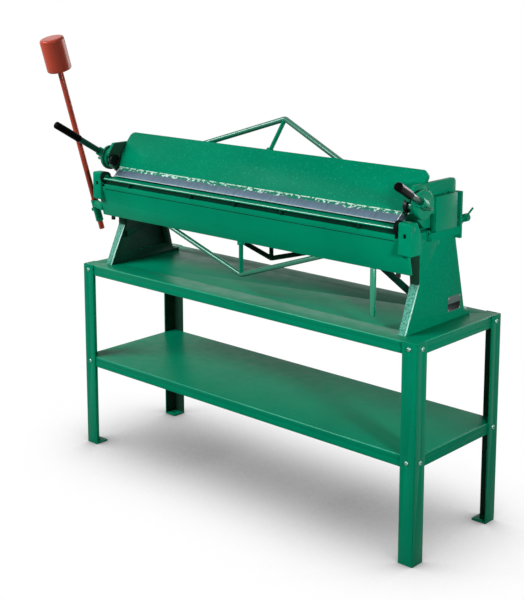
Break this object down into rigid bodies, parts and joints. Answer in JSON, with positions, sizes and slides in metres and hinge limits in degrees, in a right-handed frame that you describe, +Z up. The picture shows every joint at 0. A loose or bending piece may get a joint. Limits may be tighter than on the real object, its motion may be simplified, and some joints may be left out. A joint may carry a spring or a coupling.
{
  "type": "bench sheet metal brake",
  "caption": "Bench sheet metal brake on a shelved angle-leg stand: a hinged apron with counterweight bends sheet under a sloped clamping leaf worked by end levers.",
  "frame": {"origin": "on the floor, at the middle of the four anchor holes in the feet", "axes": "+X along the bend line to the operator's right, +Y from the operator to the rear, +Z up"},
  "size_m": [1.514, 0.572, 1.4523],
  "materials": {
    "machine_paint": "semi-gloss enamel",
    "stand_paint": "semi-gloss enamel",
    "leaf_paint": "semi-gloss enamel",
    "frame_paint": "semi-gloss enamel on casting",
    "apron_paint": "semi-gloss enamel",
    "polished_steel": "ground",
    "weight_paint": "semi-gloss enamel",
    "grip_plastic": "moulded",
    "bumper_rubber": "matt",
    "plate_metal": "anodised, blank",
    "fastener_steel": "zinc",
    "shaft_steel": "black oxide"
  },
  "bodies": {
    "stand": {"bed": "machine_paint", "bed_bolts": "machine_paint", "bed_truss_post": "machine_paint", "bed_truss_rod": "machine_paint", "data_plate": "plate_metal", "foot_plates": "stand_paint", "frame_bolts": "fastener_steel", "left_bed_brace": "machine_paint", "left_end_frame": "frame_paint", "left_front_leg": "stand_paint", "left_rear_leg": "stand_paint", "lower_shelf": "stand_paint", "right_bed_brace": "machine_paint", "right_end_frame": "frame_paint", "right_front_leg": "stand_paint", "right_rear_leg": "stand_paint", "stand_bolts": "fastener_steel", "stand_nuts": "fastener_steel", "top_tray": "stand_paint"},
    "apron": {"apron_bar": "apron_paint", "apron_bar_screws": "machine_paint", "apron_bumpers": "bumper_rubber", "apron_handle": "machine_paint", "apron_plate": "apron_paint", "apron_truss_post": "machine_paint", "apron_truss_rod": "machine_paint", "counterweight_clamp": "machine_paint", "counterweight_clamp_screw": "machine_paint", "left_apron_end_block": "apron_paint", "left_hinge_pin": "machine_paint", "right_apron_end_block": "apron_paint", "right_hinge_pin": "machine_paint"},
    "counterweight": {"counterweight": "weight_paint", "counterweight_rod": "weight_paint"},
    "carriage": {"left_slide_housing": "machine_paint", "right_slide_housing": "machine_paint"},
    "top_leaf": {"leaf_end_screws": "machine_paint", "leaf_truss_lugs": "machine_paint", "leaf_truss_post": "machine_paint", "leaf_truss_rod": "machine_paint", "left_leaf_end_plate": "machine_paint", "nose_bar": "polished_steel", "nose_bar_bolts": "fastener_steel", "right_leaf_end_plate": "machine_paint", "top_leaf_plate": "leaf_paint"},
    "left_clamp": {"left_clamp_hub": "machine_paint", "left_clamp_lever": "machine_paint", "left_eccentric_shaft": "machine_paint", "left_lever_grip": "grip_plastic", "left_pin_collar": "shaft_steel"},
    "right_clamp": {"right_clamp_hub": "machine_paint", "right_clamp_lever": "machine_paint", "right_eccentric_shaft": "machine_paint", "right_lever_grip": "grip_plastic", "right_pin_collar": "shaft_steel"},
    "left_setback": {"left_setback_bar": "machine_paint", "left_setback_screw": "machine_paint"},
    "right_setback": {"right_setback_bar": "machine_paint", "right_setback_screw": "machine_paint"}
  },
  "joints": [
    {"name": "apron_swing", "type": "hinge", "parent": "stand", "child": "apron", "pos_m": [0, -0.183, 0.966], "axis": [-1, 0, 0], "range_deg": [0, 135]},
    {"name": "counterweight_slide", "type": "slide", "parent": "apron", "child": "counterweight", "axis": [0, -0.284, 0.9588], "range_m": [-0.04, 0.04]},
    {"name": "setback_slide", "type": "slide", "parent": "stand", "child": "carriage", "axis": [0, 1, 0], "range_m": [-0.01, 0.01]},
    {"name": "leaf_lift", "type": "slide", "parent": "carriage", "child": "top_leaf", "axis": [0, 0, 1], "range_m": [-0.0055, 0.0145]},
    {"name": "left_clamp_turn", "type": "hinge", "parent": "carriage", "child": "left_clamp", "pos_m": [-0.66, -0.126, 1.026], "axis": [-1, 0, 0], "range_deg": [-18.71, 49.31]},
    {"name": "left_setback_turn", "type": "hinge", "parent": "carriage", "child": "left_setback", "pos_m": [-0.651, 0.066, 0.956], "axis": [0, 1, 0], "range_deg": [-901, 901]},
    {"name": "right_clamp_turn", "type": "hinge", "parent": "carriage", "child": "right_clamp", "pos_m": [0.66, -0.126, 1.026], "axis": [-1, 0, 0], "range_deg": [-18.71, 49.31]},
    {"name": "right_setback_turn", "type": "hinge", "parent": "carriage", "child": "right_setback", "pos_m": [0.651, 0.066, 0.956], "axis": [0, 1, 0], "range_deg": [-901, 901]}
  ],
  "couplings": [
    {"joint": "left_clamp_turn", "follows": "leaf_lift", "rad_per_m": 59.341},
    {"joint": "left_setback_turn", "follows": "setback_slide", "rad_per_m": 1570.8},
    {"joint": "right_clamp_turn", "follows": "leaf_lift", "rad_per_m": 59.341},
    {"joint": "right_setback_turn", "follows": "setback_slide", "rad_per_m": 1570.8}
  ]
}
